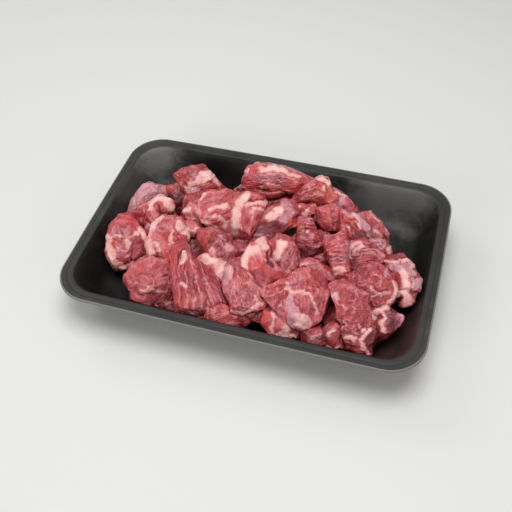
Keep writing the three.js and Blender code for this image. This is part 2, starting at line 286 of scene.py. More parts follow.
def wallStations(offset, floorZ, topZ):
    # (inset, z) from the floor's edge up to the flange, the same curve for both faces of the foam
    shape = trayShape
    foot = shape["flange"] + shape["wallRun"] + offset
    return [
        (foot + shape["floorRadius"], floorZ),
        (foot + shape["floorRadius"] * 0.45, floorZ + 0.8),
        (foot - 0.5, floorZ + 3.6),
        (foot - 4, floorZ + 9),
        (shape["flange"] + offset + 3.4, topZ - 6),
        (shape["flange"] + offset + 1.9, topZ - 2.6),
    ]


def soften(stations):
    # cuts every corner of the section, and keeps its two ends
    softened = [stations[0]]
    for first, second in zip(stations, stations[1:]):
        for share in (0.25, 0.75):
            softened.append(tuple(a + (b - a) * share for a, b in zip(first, second)))
    softened.append(stations[-1])
    return softened


def makeTray():
    shape = trayShape
    top, under, flange = shape["height"], shape["height"] - shape["lip"], shape["flange"]
    groove, half = shape["grooveAt"], shape["grooveHalf"]
    # out along the underside, round the lip, and back over the top
    stations = wallStations(-shape["foam"], 0, under)
    stations += [
        (flange - shape["foam"] + 0.8, under - 0.6),
        (0.5, under),
        (0, under + 0.6),
        (0, top - 0.6),
        (0.2, top),
        (0.9, top + 0.1),
        (1.5, top - 0.2),
        (groove - half, top - 0.2),
        (groove, top - 0.2 - shape["grooveDepth"]),
        (groove + half, top - 0.2),
        (flange - 2.4, top - 0.15),
        (flange - 0.6, top - 0.2),
        (flange + 0.6, top - 1.0),
    ]
    stations += wallStations(0, shape["foam"], top)[::-1]
    for _ in range(shape["softenings"]):
        stations = soften(stations)
    rings = [trayRing(inset, z) for inset, z in stations]
    count = len(rings[0])
    points = [tuple(mm * value for value in point) for ring in rings for point in ring]
    faces = [tuple(range(count))[::-1], tuple(range(len(points) - count, len(points)))]
    for row in range(len(rings) - 1):
        for column in range(count):
            after = (column + 1) % count
            low, high = row * count, (row + 1) * count
            faces.append((low + column, low + after, high + after, high + column))
    mesh = bpy.data.meshes.new("foamTray")
    mesh.from_pydata(points, [], faces)
    onEdge = [inset < shape["edge"] for inset, z in stations for _ in range(count)]
    onRim = [inset < flange and z > under for inset, z in stations for _ in range(count)]
    storeFields(mesh, {"edge": onEdge, "rim": onRim})
    mesh.shade_smooth()
    piece = addObject("foamTray", mesh)
    mesh.materials.append(makeFoam())
    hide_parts("tray")
    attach(piece, "root")
    print("tray made with", len(faces), "faces")


def makeFoam():
    look = foamLook
    table = bench("blackFoam")
    place = table.node("ShaderNodeTexCoord", {}, {}, "Object")
    beads = table.cells(place, 1 / (look["beadSize"] * mm))
    grit = table.noise(place, *look["grit"])
    patches = table.noise(place, *look["patches"])
    worn = (patches * 0.6 + grit * 0.5 - 0.25).step(*look["wornRange"])
    colour = table.blend(worn, look["black"], look["worn"])
    settings = {"operation": "MULTIPLY"}
    across = table.node("ShaderNodeVectorMath", settings, {0: place, 1: look["scuffRun"]})
    scuffs = table.noise(across, 1.0, 3.0, 0.7) + (patches - 0.5) * 0.5
    colour = table.blend(scuffs.step(*look["scuffRange"]) * 0.5, colour, look["scuffed"])
    rim = table.value("rim")
    smears = table.noise(place, *look["smears"])
    # Painted sheen: bright spots on the walls, ragged by this noise and kept off the rim, with one reddish
    # patch
    spotFray = (patches - 0.5) * 0.8 + (smears - 0.5) * 0.4 + (grit - 0.5) * 0.5
    settings = {"operation": "DISTANCE"}
    for centre, reach, strength, shade in look["wallSpots"]:
        away = table.node("ShaderNodeVectorMath", settings, {0: place, 1: centre}, "Value")
        near = (1 - away * (1 / reach) + spotFray).step(*look["spotRange"])
        colour = table.blend(near * strength * (1 - rim * 0.9), colour, look[shade])
    colour = table.blend(rim * (0.3 + patches * 0.4), colour, look["flange"])
    # painted highlight on the outer edge of the flange, broken by grit
    colour = table.blend(table.value("edge") * (0.5 + grit * 0.6), colour, look["edgeHighlight"])
    height = beads * 0.7 + grit * 0.5
    table.shade({
        "Base Color": colour,
        "Roughness": look["roughness"] + (patches - 0.5) * 0.25 + (grit - 0.5) * 0.2,
        "Normal": table.bump(height, look["beadDepth"] * mm),
        "IOR": look["index"],
        "Specular IOR Level": look["sheen"],
    })
    return table.material


# Meat. Every chunk keeps the place and the viewpoint that its solid has. Marks are drawn on the
# face that looks at the viewpoint, as [kind, width, stroke], where the stroke's points are given in
# mm as right, up, right, up and so on, with a strength under 1 after it where the mark is faint.
# Kinds: fat, vein (a thin fat line), the silverskin kind (silverskin, and where its marks are wide and
# faint, painted sheen), red, dark (dark flesh, and painted shadow along gaps and lower edges), pale (pale
# flesh, and where broad and faint, painted sheen), cut (a crease, painted near black as shade).
# tone runs from -2, deep red, to 2, rosy, and also paints light and shade onto whole chunks: chunks lying
# low in shade are set darker, and fat_bits, which lies in shadow, lighter. Fibres run at an angle (grain),
# away from a point (fan), round a point (ring), or run into the face and show their cut ends, drawn out at
# an angle (ends).
viewpoint = (115, -337, 438)

chunks = {
    "strip": {"at": (61, -10, 44), "tone": 0.5, "lines": 1.1, "grain": 4, "marks": [
        ["pale", 3, [-9, 12, -8, 4], 0.8], ["red", 2, [4, 18, 5, 12]], ["red", 4, [3, -13, 6, -15]],
        ["fat", 3.6, [0, -9, 4, -9.5], 0.75], ["fat", 1.5, [-1, -12, -1, -16, 1, -18, 4, -17.5, 8, -16]],
        ["vein", 1.1, [6, 10, 6.5, 4]], ["vein", 1.1, [6.5, -3, 6, -8]], ["vein", 0.7, [-5, -2, 5, -1.5]],
        ["vein", 0.7, [-5, -4.2, 5, -4]], ["vein", 0.7, [-5, 0.4, 4, 0.8]],
        ["dark", 0.9, [-5, -3, 5, -2.7], 0.8], ["dark", 0.9, [-6, -0.8, 5, -0.4], 0.7],
        ["red", 4, [-8, 8, -7, 3], 0.5],
    ]},
    "pale_oval": {"at": (24, -20, 43), "tone": 0, "grain": 65, "marks": [
        ["fat", 6.4, [-1.5, 9, -3.5, 4, -5, 0.5]], ["fat", 4.4, [-5.5, 0, -7.8, -3.6]],
        ["silkAndSheen", 10, [3, 5, 4, -4], 0.4], ["red", 4, [3, 10, 8, 11], 0.6],
        ["pale", 4, [0, -9, 2, -10], 0.8], ["fat", 1.2, [-1, -7, 0, -11, 3, -12, 3.5, -8], 0.8],
        ["dark", 3, [6, -12, 9, -8], 0.5], ["vein", 0.7, [5, 8, 4.5, 0, 5, -6], 0.7],
    ]},
    "fat_band": {"at": (-15, 12, 43), "tone": 0.6, "grain": 72, "marks": [
        ["fat", 5, [1, 15, -3, 10.5, -6, 4, -7.7, -2, -8, -7, -9, -13]],
        ["pale", 5, [-12.5, 7, -12, -2, -13, -10]], ["fat", 1.8, [0, 6.5, 5, 9, 10, 9.8, 15, 8], 0.9],
        ["cut", 0.7, [2, 11.5, 8, 12, 14, 10.5], 0.5],
        ["fat", 1.4, [3, 1.5, 6, 4.5, 11, 4.5, 15, 2], 0.75], ["red", 2, [4, 7, 9, 7.2, 13, 6], 0.9],
        ["pale", 3.4, [1, 4, 3, -1, 8, 1.5, 12, 1]], ["red", 5, [-1.5, -3, -2, -13], 0.8],
        ["vein", 1, [-4.5, -1, -4, -8, -4.5, -14]], ["vein", 0.9, [4, -2, 2, -8, 2, -14]],
        ["dark", 1.4, [0, -1, 0.5, -8], 0.5], ["pale", 2, [5, -5, 7, -9]],
    ]},
    "fat_ring": {"at": (10, -34, 41), "tone": 0.5, "lines": 0.3, "fan": (-3, 40), "marks": [
        ["fat", 5.5, [1, 20, 3, 17]], ["fat", 5, [-2, 15.5, -6, 13.5, -10.5, 8.5, -11.5, 3, -10, -3]],
        ["fat", 5.4, [-10, -3, -8, -8, -6, -14], 0.95], ["pale", 4, [-3, 11.5, 2, 12.5]],
        ["red", 5, [-5, 7, 0, 7.5, 3, 9]], ["red", 7, [-2, 2, 3, -1], 0.95],
        ["red", 2, [-7.5, -1, -5, -3, -6.5, -5], 0.9], ["red", 6, [8, -3, 14, -6], 0.6],
        ["pale", 5, [-4, -9, 3, -12, 8, -13], 0.9], ["cut", 2, [5, 12, 5.5, 5, 8, 2]],
        ["dark", 1.2, [-2, -2, 3, -5, 9, -8], 0.5], ["vein", 1, [-2, 14, 0, 10, 4, 5], 0.8],
    ]},
    "silver_band": {"at": (67, 27, 38), "tone": 0.3, "lines": 0.7, "grain": -45, "marks": [
        ["silkAndSheen", 4.2, [-1, 8.6, 4, 7]], ["silkAndSheen", 5.6, [5, 4, 8, 0, 11, -3.5]],
        ["fat", 1.2, [-2, 7.6, 2, 4, 4, -2], 0.8], ["red", 7, [-10, 5, -4, 5, -1, 0], 0.7],
        ["pale", 2.6, [-9, -1, -7, -2]], ["fat", 2, [-4.4, -3], 0.95], ["pale", 2, [-2.5, 0, -3, 2]],
        ["dark", 5, [1, -6.5, 11, -7.5], 0.8], ["red", 3.4, [-8, -4, -6, -9]],
        ["silkAndSheen", 3, [-8, 9, -5, 7], 0.8],
    ]},
    "mid_marbled": {"at": (-39, 13, 40), "tone": 1.1, "grain": 20, "marks": [
        ["fat", 1.6, [-8, 15, -12, 11, -15, 5.5, -15, -2, -13.5, -6], 0.9],
        ["fat", 3, [-5, 1.8, 0, 3.4, 8, 3.6]], ["red", 2.6, [-4, -1, 2, -1.2], 0.85],
        ["red", 4.4, [-3.5, -6.5, -1, -7]], ["red", 3.4, [6, -2, 7, -4.5], 0.9],
        ["pale", 3.6, [-10, 0, -9, -5, -6, -10, -1, -13]], ["fat", 1.8, [-9.5, -3, -6, -3.6, -1, -3], 0.9],
        ["fat", 2, [-9, -6, -5, -11, -1.5, -13]], ["fat", 2.2, [1.5, -4, 5, -9, 4, -14], 0.95],
        ["fat", 1.8, [5, -9, 9, -8, 11, -4], 0.9], ["fat", 3, [6, -13, 9, -19]],
        ["pale", 4, [11, 8, 13, 2, 12, -3]], ["dark", 1.2, [-8, 12, 0, 12.5, 7, 11], 0.45],
        ["dark", 1.2, [-10, 8, -2, 8, 6, 7.5], 0.45],
    ]},
    "purple": {"at": (10, 17, 40), "tone": 0.2, "grain": 30, "marks": [
        ["fat", 5.6, [-8.5, 2, -4, 2.8, 0, 4]], ["fat", 4.4, [-3, 6.6, 0.5, 6.8]],
        ["silkAndSheen", 7, [5, 11, 8, 6, 6, 2], 0.65], ["silkAndSheen", 3.6, [2, -1, 4, 3, 3.5, -2]],
        ["dark", 10, [-17, -7.5, -10, -6, -4, -6]], ["silkAndSheen", 6, [-15, -7, -9, -6], 0.25],
        ["silkAndSheen", 1.5, [-19, -10, -12, -12.3, -5, -10.5], 0.7], ["dark", 5, [-3, -5, 5, -6], 0.9],
        ["red", 4.6, [8, -1.5, 13, -0.5]], ["fat", 3, [9.5, -9, 13, -5.5]],
        ["pale", 3.4, [-14, 10, -8, 12.5]], ["red", 2.4, [-3, -9, 5, -6.5], 0.6],
    ]},
    "mid_fan": {"at": (80, 0, 36), "tone": 0, "lines": 1, "ring": (4, -26), "marks": [
        ["fat", 2.2, [-12, -1, -12.5, 4, -9.5, 8, -4, 9.7, -2, 8.5]], ["pale", 3, [-10, 3, -8, 6, -4, 8]],
        ["fat", 1.2, [-11, -1.5, -8.5, 3, -3, 7.2], 0.9],
        ["vein", 0.9, [-9, -1, -5, 3.6, 0, 6, 6, 5.5, 12, 2]],
        ["vein", 0.8, [-7, -1, -3, 2.5, 4, 3.6, 10, 1], 0.9],
        ["dark", 0.9, [-8, 0, -4, 3.6, 2, 5, 9, 3.4], 0.6], ["dark", 6.6, [-10, -4, -7, -7], 0.7],
        ["pale", 2.6, [-5, -6, -6, -10], 0.6], ["pale", 3, [-3, -4, 3, -3, 10, -2], 0.4],
    ]},
    "back_hump": {"at": (31, 54, 36), "tone": 0.25, "lines": 0.7, "grain": 25, "marks": [
        ["fat", 2.6, [0, 12, 4, 13.4, 8, 11.5, 9, 9]], ["silkAndSheen", 3, [2, 12.5, 6, 12]],
        ["red", 1.6, [0, 10.3, 5, 10]], ["pale", 2.2, [-10, 5, -5, 9.5, -1, 11.5]],
        ["pale", 2, [9, 7, 12, 3.5, 16, 1]], ["fat", 1.7, [5, 7, 5.5, 4.5], 0.85],
        ["red", 4.4, [9, -3, 14, -5.5, 9, -8], 0.8], ["vein", 0.9, [-14, 0, -8, 3, 0, 5, 6, 3.5]],
        ["vein", 0.9, [-12, -4, -4, 0, 4, 0]], ["dark", 1.2, [-9, 1, -2, 3.4, 5, 1.5], 0.5],
        ["dark", 1.4, [-10, -6, -2, -3, 5, -4], 0.5], ["silkAndSheen", 4, [14.5, -9, 17, -11]],
    ]},
    "red_ball": {"at": (47, 28, 38), "tone": 1, "lines": 0.25, "ends": 80, "marks": [
        ["red", 8, [-4, 3, -2, 0], 0.6], ["cut", 0.7, [2.5, 7, 3, 2, 3.5, -3], 0.45],
        ["dark", 3, [-8, -7, 0, -8, 8, -7], 0.7], ["silkAndSheen", 3.4, [6, 11, 10, 7]],
        ["pale", 3, [8, -3, 10, 0], 0.7],
    ]},
    "back_fatcap": {"at": (-6, 59, 38), "tone": 0.4, "lines": 0.9, "grain": 4, "marks": [
        ["fat", 4.6, [-9.5, 8.7, 0, 8.7, 8, 7]], ["fat", 3, [9, 6.5, 14, 4, 19, 1.5]],
        ["fat", 2.2, [-22, 8, -21, 9.5], 0.9], ["red", 6, [-18.5, 9, -15, 10]],
        ["pale", 3, [13, 9, 22, 4, 26, 1.5]], ["silkAndSheen", 7, [-9, 1, 0, 1, 7, -2], 0.35],
        ["red", 7, [-19, 1, -16, -6], 0.8], ["cut", 0.8, [-14, -7, -4, -9, 5, -9, 12, -12], 0.6],
        ["red", 5, [10, -4.5, 16, -6], 0.8], ["red", 4, [20, 0, 26, -1]],
        ["vein", 0.9, [-12, 4, 0, 4.8, 9, 2, 18, -1]], ["vein", 0.9, [-13, -5, -4, -2.5, 6, -4]],
        ["vein", 0.8, [-10, -0.5, 0, 1, 8, -1]], ["dark", 1.2, [-11, 2, 0, 3, 10, 0], 0.5],
        ["red", 3, [-12, -11, -2, -13, 8, -12], 0.8],
    ]},
    "fat_knob": {"at": (-54, -8, 38), "tone": 0.9, "lines": 0.25, "grain": 40, "marks": [
        ["pale", 12, [-1, 0, 2, -1]], ["fat", 3.6, [-5, 3, -3.5, 0], 0.85],
        ["fat", 3, [3, -3, 6, -1], 0.75], ["red", 1.6, [0, 3, 1, 0, 0, -2], 0.8],
    ]},
    "fatty_fold": {"at": (-70, -20, 35), "tone": 0.5, "lines": 0.25, "fan": (6, 32), "marks": [
        ["fat", 2.4, [-16, -9, -14.5, 1, -11, 5, -7, 10, -4, 14, 1, 18]],
        ["fat", 5.5, [-13, 0, -13.5, -6, -13, -12], 0.9], ["fat", 2.6, [-8, -2, -6.5, -9, -6.8, -16]],
        ["pale", 8, [-10, 3, -4, -1, -4, -5]], ["silkAndSheen", 6, [-2, 8, 2, 9], 0.4],
        ["red", 3.4, [2.5, 5, 1.5, -3, -3, -9, -3, -18]], ["red", 4, [8, 6, 9, 0, 8, -3], 0.9],
        ["fat", 2, [5.5, 6, 4.5, 0, 4, -7], 0.7], ["cut", 0.9, [2, -13, 5, -9.5, 9, -7, 14, -6], 0.7],
        ["fat", 2.4, [3, -16, 6, -12, 10, -10, 16, -9], 0.65], ["fat", 5, [12, 8, 15, 3, 19, 0], 0.9],
        ["red", 1.8, [17, 12, 18, 7, 20, 4]], ["red", 2, [2, 14.5, 7, 14, 12, 12], 0.8],
        ["pale", 3, [2, 17, 8, 16.5]],
    ]},
    "mid_red": {"at": (-26, -23, 38), "tone": -0.3, "grain": 65, "marks": [
        ["silkAndSheen", 13, [3, 3, 4, -6], 0.4], ["red", 8, [-10, 8, -5, 13], 0.7],
        ["fat", 3, [-4.5, 1, -3.5, -5, -0.5, -8], 0.75], ["fat", 3, [6, 3.5, 7.5, 1], 0.65],
        ["red", 2, [4.5, 4.5, 6, 6]], ["pale", 2, [8, 4.5, 11, 0]], ["vein", 0.8, [1, 11, 5, 7, 8, 5]],
        ["dark", 2, [-3, 10, 4, 8], 0.4], ["cut", 0.7, [-9, 4, -6, 6, -2, 7], 0.4],
    ]},
    "fat_bits": {"at": (-25, -41, 37), "tone": 2.4, "lines": 0.25, "grain": 50, "marks": [
        ["pale", 12, [-4, 4, 2, -1]], ["fat", 4.4, [-3.5, 8, -2, 6, 1, 5.5, 4, 4.5, 7, 2.5]],
        ["fat", 7, [5, -1, 5, -5]], ["fat", 5, [5.5, -6, 6.5, -10]], ["fat", 3, [6.5, 2, 7.5, -3]],
        ["pale", 4, [-7, 8, -5, 5]], ["pale", 6, [-5, 3, 0, 0, 2, -4]],
        ["red", 3.4, [0, 2.4, 3, 0.6], 0.8],
    ]},
    "corner_cube": {"at": (-72, 51, 26), "tone": 0, "lines": 0.7, "grain": 6, "marks": [
        ["fat", 5, [6, 6.5, 11, 6]], ["fat", 5.4, [2.5, 2.4, 13, 3]], ["fat", 2.8, [-5, -0.5, 1, 2]],
        ["fat", 3, [15, 0, 17, -2], 0.9], ["red", 4, [2, -3, 8, -2.5, 14, -4], 0.7],
        ["dark", 2.6, [4, -6, 12, -7], 0.5], ["silkAndSheen", 6, [-4, -4.5, 0, -6]],
        ["pale", 3, [-3, -7, 1, -7.5]], ["dark", 2.2, [-2, -10, 4, -9], 0.8],
        ["fat", 1.8, [-9, -1.5, -8, -6, -5, -12, -2.5, -17.5]],
        ["red", 3, [-12, -3, -11, -10, -7, -16], 0.9], ["pale", 3, [-12, 3, -10, -1]],
        ["vein", 1.4, [-1, -16, 1, -13, 6, -9.5]], ["dark", 3, [-6, 9, 3, 12], 0.35],
    ]},
    "front_centre": {"at": (43, -48, 33), "tone": 0.35, "lines": 0.75, "grain": 80, "marks": [
        ["fat", 1.2, [-9, 11.5, -8, 8], 0.9], ["vein", 1, [-20, 3, -14, 5, -10, 7]],
        ["fat", 1.3, [-10, 7, -4, 6, 1, 6.6, 6, 3.5, 9, 0, 11, -4, 13, -8.5], 0.95],
        ["silkAndSheen", 3.6, [-6.5, 5, -6, -4], 0.95], ["silkAndSheen", 8, [-5, -7, -4, -15]],
        ["fat", 5.6, [-0.5, -11.5, 4.5, -14.5], 0.95], ["fat", 4.6, [-1, -16, 3, -18.5], 0.95],
        ["red", 3, [-10, -8, -9, -13], 0.7], ["pale", 5, [-14, -10, -12, -16, -6, -19]],
        ["fat", 1.5, [-12, -15, -8, -18, -4, -19.5], 0.9], ["pale", 7, [1, 2, 6, -5, 9, -10], 0.5],
        ["vein", 0.9, [-15, -4, -10, -3, -7, 0], 0.8], ["dark", 1.4, [-22, 0, -16, 1, -10, 2], 0.4],
        ["cut", 0.6, [-3, 12, -9, 10.5, -18, 8], 0.4],
    ]},
    "front_right": {"at": (80, -45, 34), "tone": 0.35, "lines": 0.6, "ends": 15, "marks": [
        ["fat", 2, [-12, 7, -11.5, 5]], ["vein", 1.6, [-12, 4, -10, 1, -6, 0, -5, -2]],
        ["pale", 3, [-15, 8, -14, 2, -11, -6, -9, -12]],
        ["pale", 2.6, [-13, 13, -5, 13, 4, 12, 9, 11], 0.8], ["vein", 1, [2, 12, 3, 8]],
        ["vein", 0.8, [-4, -1, 0, 0, 2, -2.5, 0, -5], 0.9], ["vein", 0.8, [-2, 5, 3, 4, 6, 1], 0.7],
        ["fat", 1.2, [-4, -9, -2.5, -12, -3.5, -17], 0.9], ["vein", 1, [0, -10, -1, -14]],
        ["vein", 1, [4.5, -9, 3, -13]], ["fat", 1.2, [7, -12, 8, -14, 11, -16], 0.95],
        ["dark", 6, [9, -4, 9, -10], 0.45], ["dark", 1.2, [-3, -3, 2, -5, 3, -8], 0.5],
    ]},
    "centre_left": {"at": (1, -52, 33), "tone": 0.2, "lines": 0.7, "fan": (-5, 34), "marks": [
        ["silkAndSheen", 3, [-6, 18, -9, 13, -10, 7], 0.9], ["fat", 2, [-5, 17.5, -7, 10], 0.8],
        ["vein", 0.9, [-2, 16, -1, 10, 2, 6, 5, 4]], ["silkAndSheen", 14, [-5, 0, 2, -6], 0.35],
        ["pale", 4, [7, 4, 12, 2, 15, -2]], ["fat", 1.7, [10, -4, 11, -6.5], 0.8],
        ["pale", 4, [12, -3, 12, -9], 0.8], ["fat", 1.4, [-8, -13.5, 0, -14.5, 8, -12, 14, -9], 0.8],
        ["vein", 0.7, [-4, 6, -5, -4, -5, -11], 0.8], ["vein", 0.7, [1, 3, 0, -6, 0, -12], 0.7],
    ]},
    "right_marbled": {"at": (94, -22, 33), "tone": 0.4, "lines": 0.6, "ends": 20, "marks": [
        ["fat", 2.2, [10, 5, 13, 0, 13, -5, 11, -9, 8, -12]],
        ["fat", 3.6, [-5, -13, -2, -16, 3, -17, 8, -13.5]],
        ["fat", 1.4, [-4, -2, -1, -4, 1, -5.5, 5, -4, 9, -3], 0.95],
        ["fat", 1.3, [1, -5.5, -2, -8, -4, -11], 0.95], ["vein", 0.9, [-14, 1, -9, 3, -5, 5]],
        ["vein", 0.9, [-13, -1.5, -8, 0, -4, 2]], ["vein", 0.8, [-3, 8, 1, 5, 2, 1], 0.8],
        ["vein", 0.9, [0, -11, 4, -12, 7, -9]], ["red", 4, [8, 5, 9, 1], 0.8],
        ["silkAndSheen", 3, [5, 12, 4.5, 9]], ["dark", 3, [-11, 10, -5, 12], 0.6],
    ]},
    "silver_twist": {"at": (111, -9, 31), "tone": -0.8, "lines": 0.3, "grain": 80, "marks": [
        ["fat", 1.8, [-16, 10, -8, 11, 0, 14]], ["fat", 3.4, [1, 13, 2.5, 11.5]],
        ["dark", 4, [-11, 13, -4, 16], 0.4], ["silkAndSheen", 5, [-9, 8, 0, 9, 4, 6.5]],
        ["silkAndSheen", 4.4, [-12.5, 4, -12, -1]], ["red", 3.6, [-7.5, 4, -4, -2]],
        ["dark", 2, [-6, 2, -3, -4], 0.6], ["fat", 4.4, [-2, 5, 1, 1, 3, -4, 1, -9]],
        ["vein", 1.4, [2, 5, 6, 1, 7, -5]], ["silkAndSheen", 5.5, [8, -2, 10, 1, 12.5, 0]],
        ["dark", 3.6, [9, -6, 9.5, -11], 0.9], ["fat", 2.6, [-6.5, -6, -4, -10, -6, -16]],
        ["fat", 5, [4, -11, 4, -16, 5, -20], 0.9], ["red", 2, [4, -4, 5, -9], 0.8],
        ["cut", 2.6, [-1, -12, -2, -18]],
    ]},
    "fat_curl": {"at": (-88, 8, 32), "tone": 0.4, "lines": 0.25, "ring": (4, 0), "marks": [
        ["fat", 4.2, [-6, 4, -3, 7, 2, 10, 7, 10, 11, 7.5]], ["fat", 6, [9, 5.5, 11, 1], 0.95],
        ["red", 2.4, [0, 7, 3, 7.6, 3.4, 4]], ["red", 2.6, [2, 2, 3, -1]], ["pale", 2.6, [5, 4, 6, 1]],
        ["cut", 0.9, [1, 3, 1, -3, 6, -3], 0.6], ["pale", 4.4, [-5, 1, -4, -5, -8, -9]],
        ["silkAndSheen", 4, [-9, -10, -7, -12]], ["dark", 1.2, [-2, 0, -1, -5], 0.5],
    ]},
    "left_round": {"at": (-103, -25, 27), "tone": 0.25, "lines": 0.25, "ring": (-2, 1), "marks": [
        ["fat", 5.4, [-11.5, 6, -13, 0, -12.5, -7, -11, -13, -8, -17.5], 0.95],
        ["fat", 4, [-8, -18, -2, -19, 4, -18.5]], ["fat", 2, [-7, 5.5, -3, 5.5], 0.85],
        ["red", 4, [-5.5, 1.5, -4, 0]], ["fat", 3, [1, 1, 2.5, -1, 1, -3.5], 0.95],
        ["silkAndSheen", 9, [-3, 9, 1, 5, -2, -3, -4, -7], 0.45], ["silkAndSheen", 3, [-6, -3, -3, -6], 0.9],
        ["dark", 7, [9, -2, 10, -8, 5, -11], 0.4], ["fat", 3.4, [9, 5, 13, 6.5, 14, 1, 15, -3], 0.95],
        ["red", 7, [5, 18, 9, 14, 10, 8], 0.8], ["dark", 1.2, [0, 15, -1, 11, -5, 8], 0.6],
        ["red", 3, [-6, -12, -3, -14], 0.7], ["cut", 0.8, [-6, -15.5, 2, -15, 12, -14], 0.7],
        ["pale", 3, [0, -17.5, 10, -17]],
    ]},
    "front_fibre": {"at": (-33, -55, 29), "tone": 0.35, "lines": 1.2, "fan": (-2, 62), "marks": [
        ["red", 5, [-13, 20, -11, 28, -6, 33, -1, 32]],
        ["cut", 0.8, [-9.5, 19, -8.5, 26, -5, 29.6, -1.5, 29], 0.6],
        ["fat", 2.4, [-6.5, 20, -4.5, 24, -3, 27]], ["fat", 1.7, [-11, 4.5, -9, 4, -6.5, 2.5]],
        ["vein", 0.9, [-1, 26, 1, 15, 1, 5]], ["vein", 0.8, [-5, 14, -6.5, 2, -8, -12]],
        ["vein", 0.8, [-2, 2, -3.5, -14]], ["vein", 0.9, [2.5, 0, 2, -14]],
        ["vein", 0.8, [6, 12, 8.5, -2, 9, -10]], ["dark", 1, [-3.5, 12, -4.5, 0, -6, -14], 0.8],
        ["dark", 1, [0, 10, -0.5, -4, -1, -15], 0.8], ["dark", 1, [4, 14, 5.5, 0, 5.5, -12], 0.8],
        ["dark", 1, [-8, 12, -10, 0, -12, -10], 0.7], ["vein", 1.1, [6.5, -9, 5, -20]],
        ["red", 7, [10, -16, 20, -18], 0.6], ["dark", 2, [18, -2, 21, -14], 0.5],
        ["fat", 1, [-7, -15, -5, -17], 0.9],
    ]},
    "pink_fold": {"at": (89, 17, 30), "tone": -0.7, "lines": 0.6, "ring": (0, -16), "marks": [
        ["silkAndSheen", 5, [-6, 3, 1, 3.5], 0.6], ["fat", 2, [5, 0, 6.5, -3], 0.8],
        ["pale", 3, [-8, -2, 0, -3], 0.7],
    ]},
    "centre_cube": {"at": (36, 5, 37), "tone": -0.1, "lines": 0.9, "grain": 4, "marks": [
        ["pale", 3, [-3, 14, 2, 13], 0.6], ["fat", 1.3, [-3.5, 6.5]], ["fat", 1.2, [0, 6.5]],
        ["pale", 4, [-3, 3, 2, 2], 0.6], ["vein", 0.9, [-8, -3.5, 0, -3.5, 8, -5]],
        ["dark", 8, [-7, -9, 0, -9, 9, -9]],
    ]},
    "pink_saddle": {"at": (49, -20, 36), "tone": 0.35, "grain": 30, "marks": [
        ["pale", 8, [-12, 2, -5, 1]], ["fat", 3.6, [-11, 1, -6, 1], 0.6], ["vein", 1, [-2, 0, 5, -2]],
        ["pale", 4, [2, 0, 10, -5], 0.8],
    ]},
    "pale_wedge": {"at": (-57, 7, 37), "tone": 1.6, "grain": 80, "marks": [
        ["fat", 4, [-5.5, 4, -2.5, 3.5], 0.8], ["vein", 1.3, [3, 9, 3.5, 1, 5, -5]],
        ["vein", 1, [-1, 1, 0, -3, -2, -7]], ["pale", 6, [-3, -3, 5, -4]],
        ["dark", 1.6, [0.5, 1, 1.5, -5], 0.6],
    ]},
    "fat_scraps": {"at": (28, 29, 38), "tone": 0.2, "grain": 60, "marks": [
        ["fat", 2, [-5, 5.5], 0.8], ["fat", 2, [-2, 1, 2, 4], 0.7], ["pale", 4, [-3, -5, 0, -4]],
        ["cut", 2.4, [5, -1.5, 5, -3]], ["cut", 0.9, [-0.5, 5], 0.6], ["pale", 4, [4, 5, 6, 1], 0.8],
    ]},
    "back_shoulder": {"at": (52, 56, 30), "tone": 0.2, "grain": -50, "marks": [
        ["fat", 1.6, [-9, 8, -4, 7, 0, 5], 0.9], ["silkAndSheen", 3.4, [-2, 6, -2, 0, -4, -5], 0.9],
        ["silkAndSheen", 4, [8, -8, 13, -9]], ["red", 5, [-7, 3], 0.8], ["pale", 4, [1, 2, 5, -4], 0.6],
    ]},
    "right_block": {"at": (81, 38, 28), "tone": 0.8, "lines": 0.7, "grain": -52, "marks": [
        ["vein", 1.4, [-6, 13, 3, 5, 11, -4]], ["fat", 3.4, [0, -4, 5, -6], 0.8],
        ["silkAndSheen", 5, [3, -10, 9, -10], 0.8], ["dark", 2, [-8, 6, -2, -2], 0.7],
    ]},
    "lilac_slab": {"at": (-108, 30, 22), "tone": 0.1, "lines": 0.7, "grain": 30, "marks": [
        ["silkAndSheen", 26, [-10, -6, 14, 4], 0.9], ["vein", 0.8, [-10, -2, 4, 6]],
        ["dark", 3, [-8, -12, 0, -13]],
    ]},
    "small_wedge": {"at": (-100, 0, 30), "tone": 0, "grain": 60, "marks": [
        ["dark", 5, [0, -6, 1, -10]], ["red", 6, [0, 5, 4, 3], 0.6], ["pale", 3, [-8, 1, -4, -6], 0.8],
    ]},
    "dark_back": {"at": (-81, 33, 22), "tone": -1.4, "grain": 80, "marks": [
        ["dark", 8, [0, 2, 0, -6]], ["red", 3, [6, 5, 8, -5]],
    ]},
    "back_tail": {"at": (-31, 51, 28), "tone": 1.8, "grain": 20, "marks": [
        ["fat", 1.8, [4.5, 2], 0.9], ["pale", 4, [-2, -4, 4, -3]], ["dark", 3, [-5, 0, 0, 2]],
    ]},
    "small_tail": {"at": (-62, -37, 30), "tone": 1.2, "grain": 85, "marks": [
        ["red", 6, [0, 6, 0, -6]], ["vein", 1, [4, 4, 2, -6]],
    ]},
    "front_left": {"at": (-73, -53, 21), "tone": 1, "lines": 0.3, "ends": 40, "marks": [
        ["red", 7, [-10, 9, -5, 12, 0, 12], 0.6], ["red", 5, [-14, -4, -10, -8], 0.5],
        ["fat", 1.2, [-5, -4.5, -2, -7, 0, -5.5], 0.9],
        ["fat", 1.3, [0.5, -4.5, 1.5, -7, 6, -8.5, 12, -10]], ["vein", 1.1, [0, -5, 0, -10]],
        ["vein", 0.9, [-8, 2, -4, 1, -1, -3]], ["vein", 0.9, [4, 2, 5, -3, 1, -6]],
        ["vein", 1.1, [15, -4, 13, -9, 8, -12, 0, -15, -6, -15], 0.9],
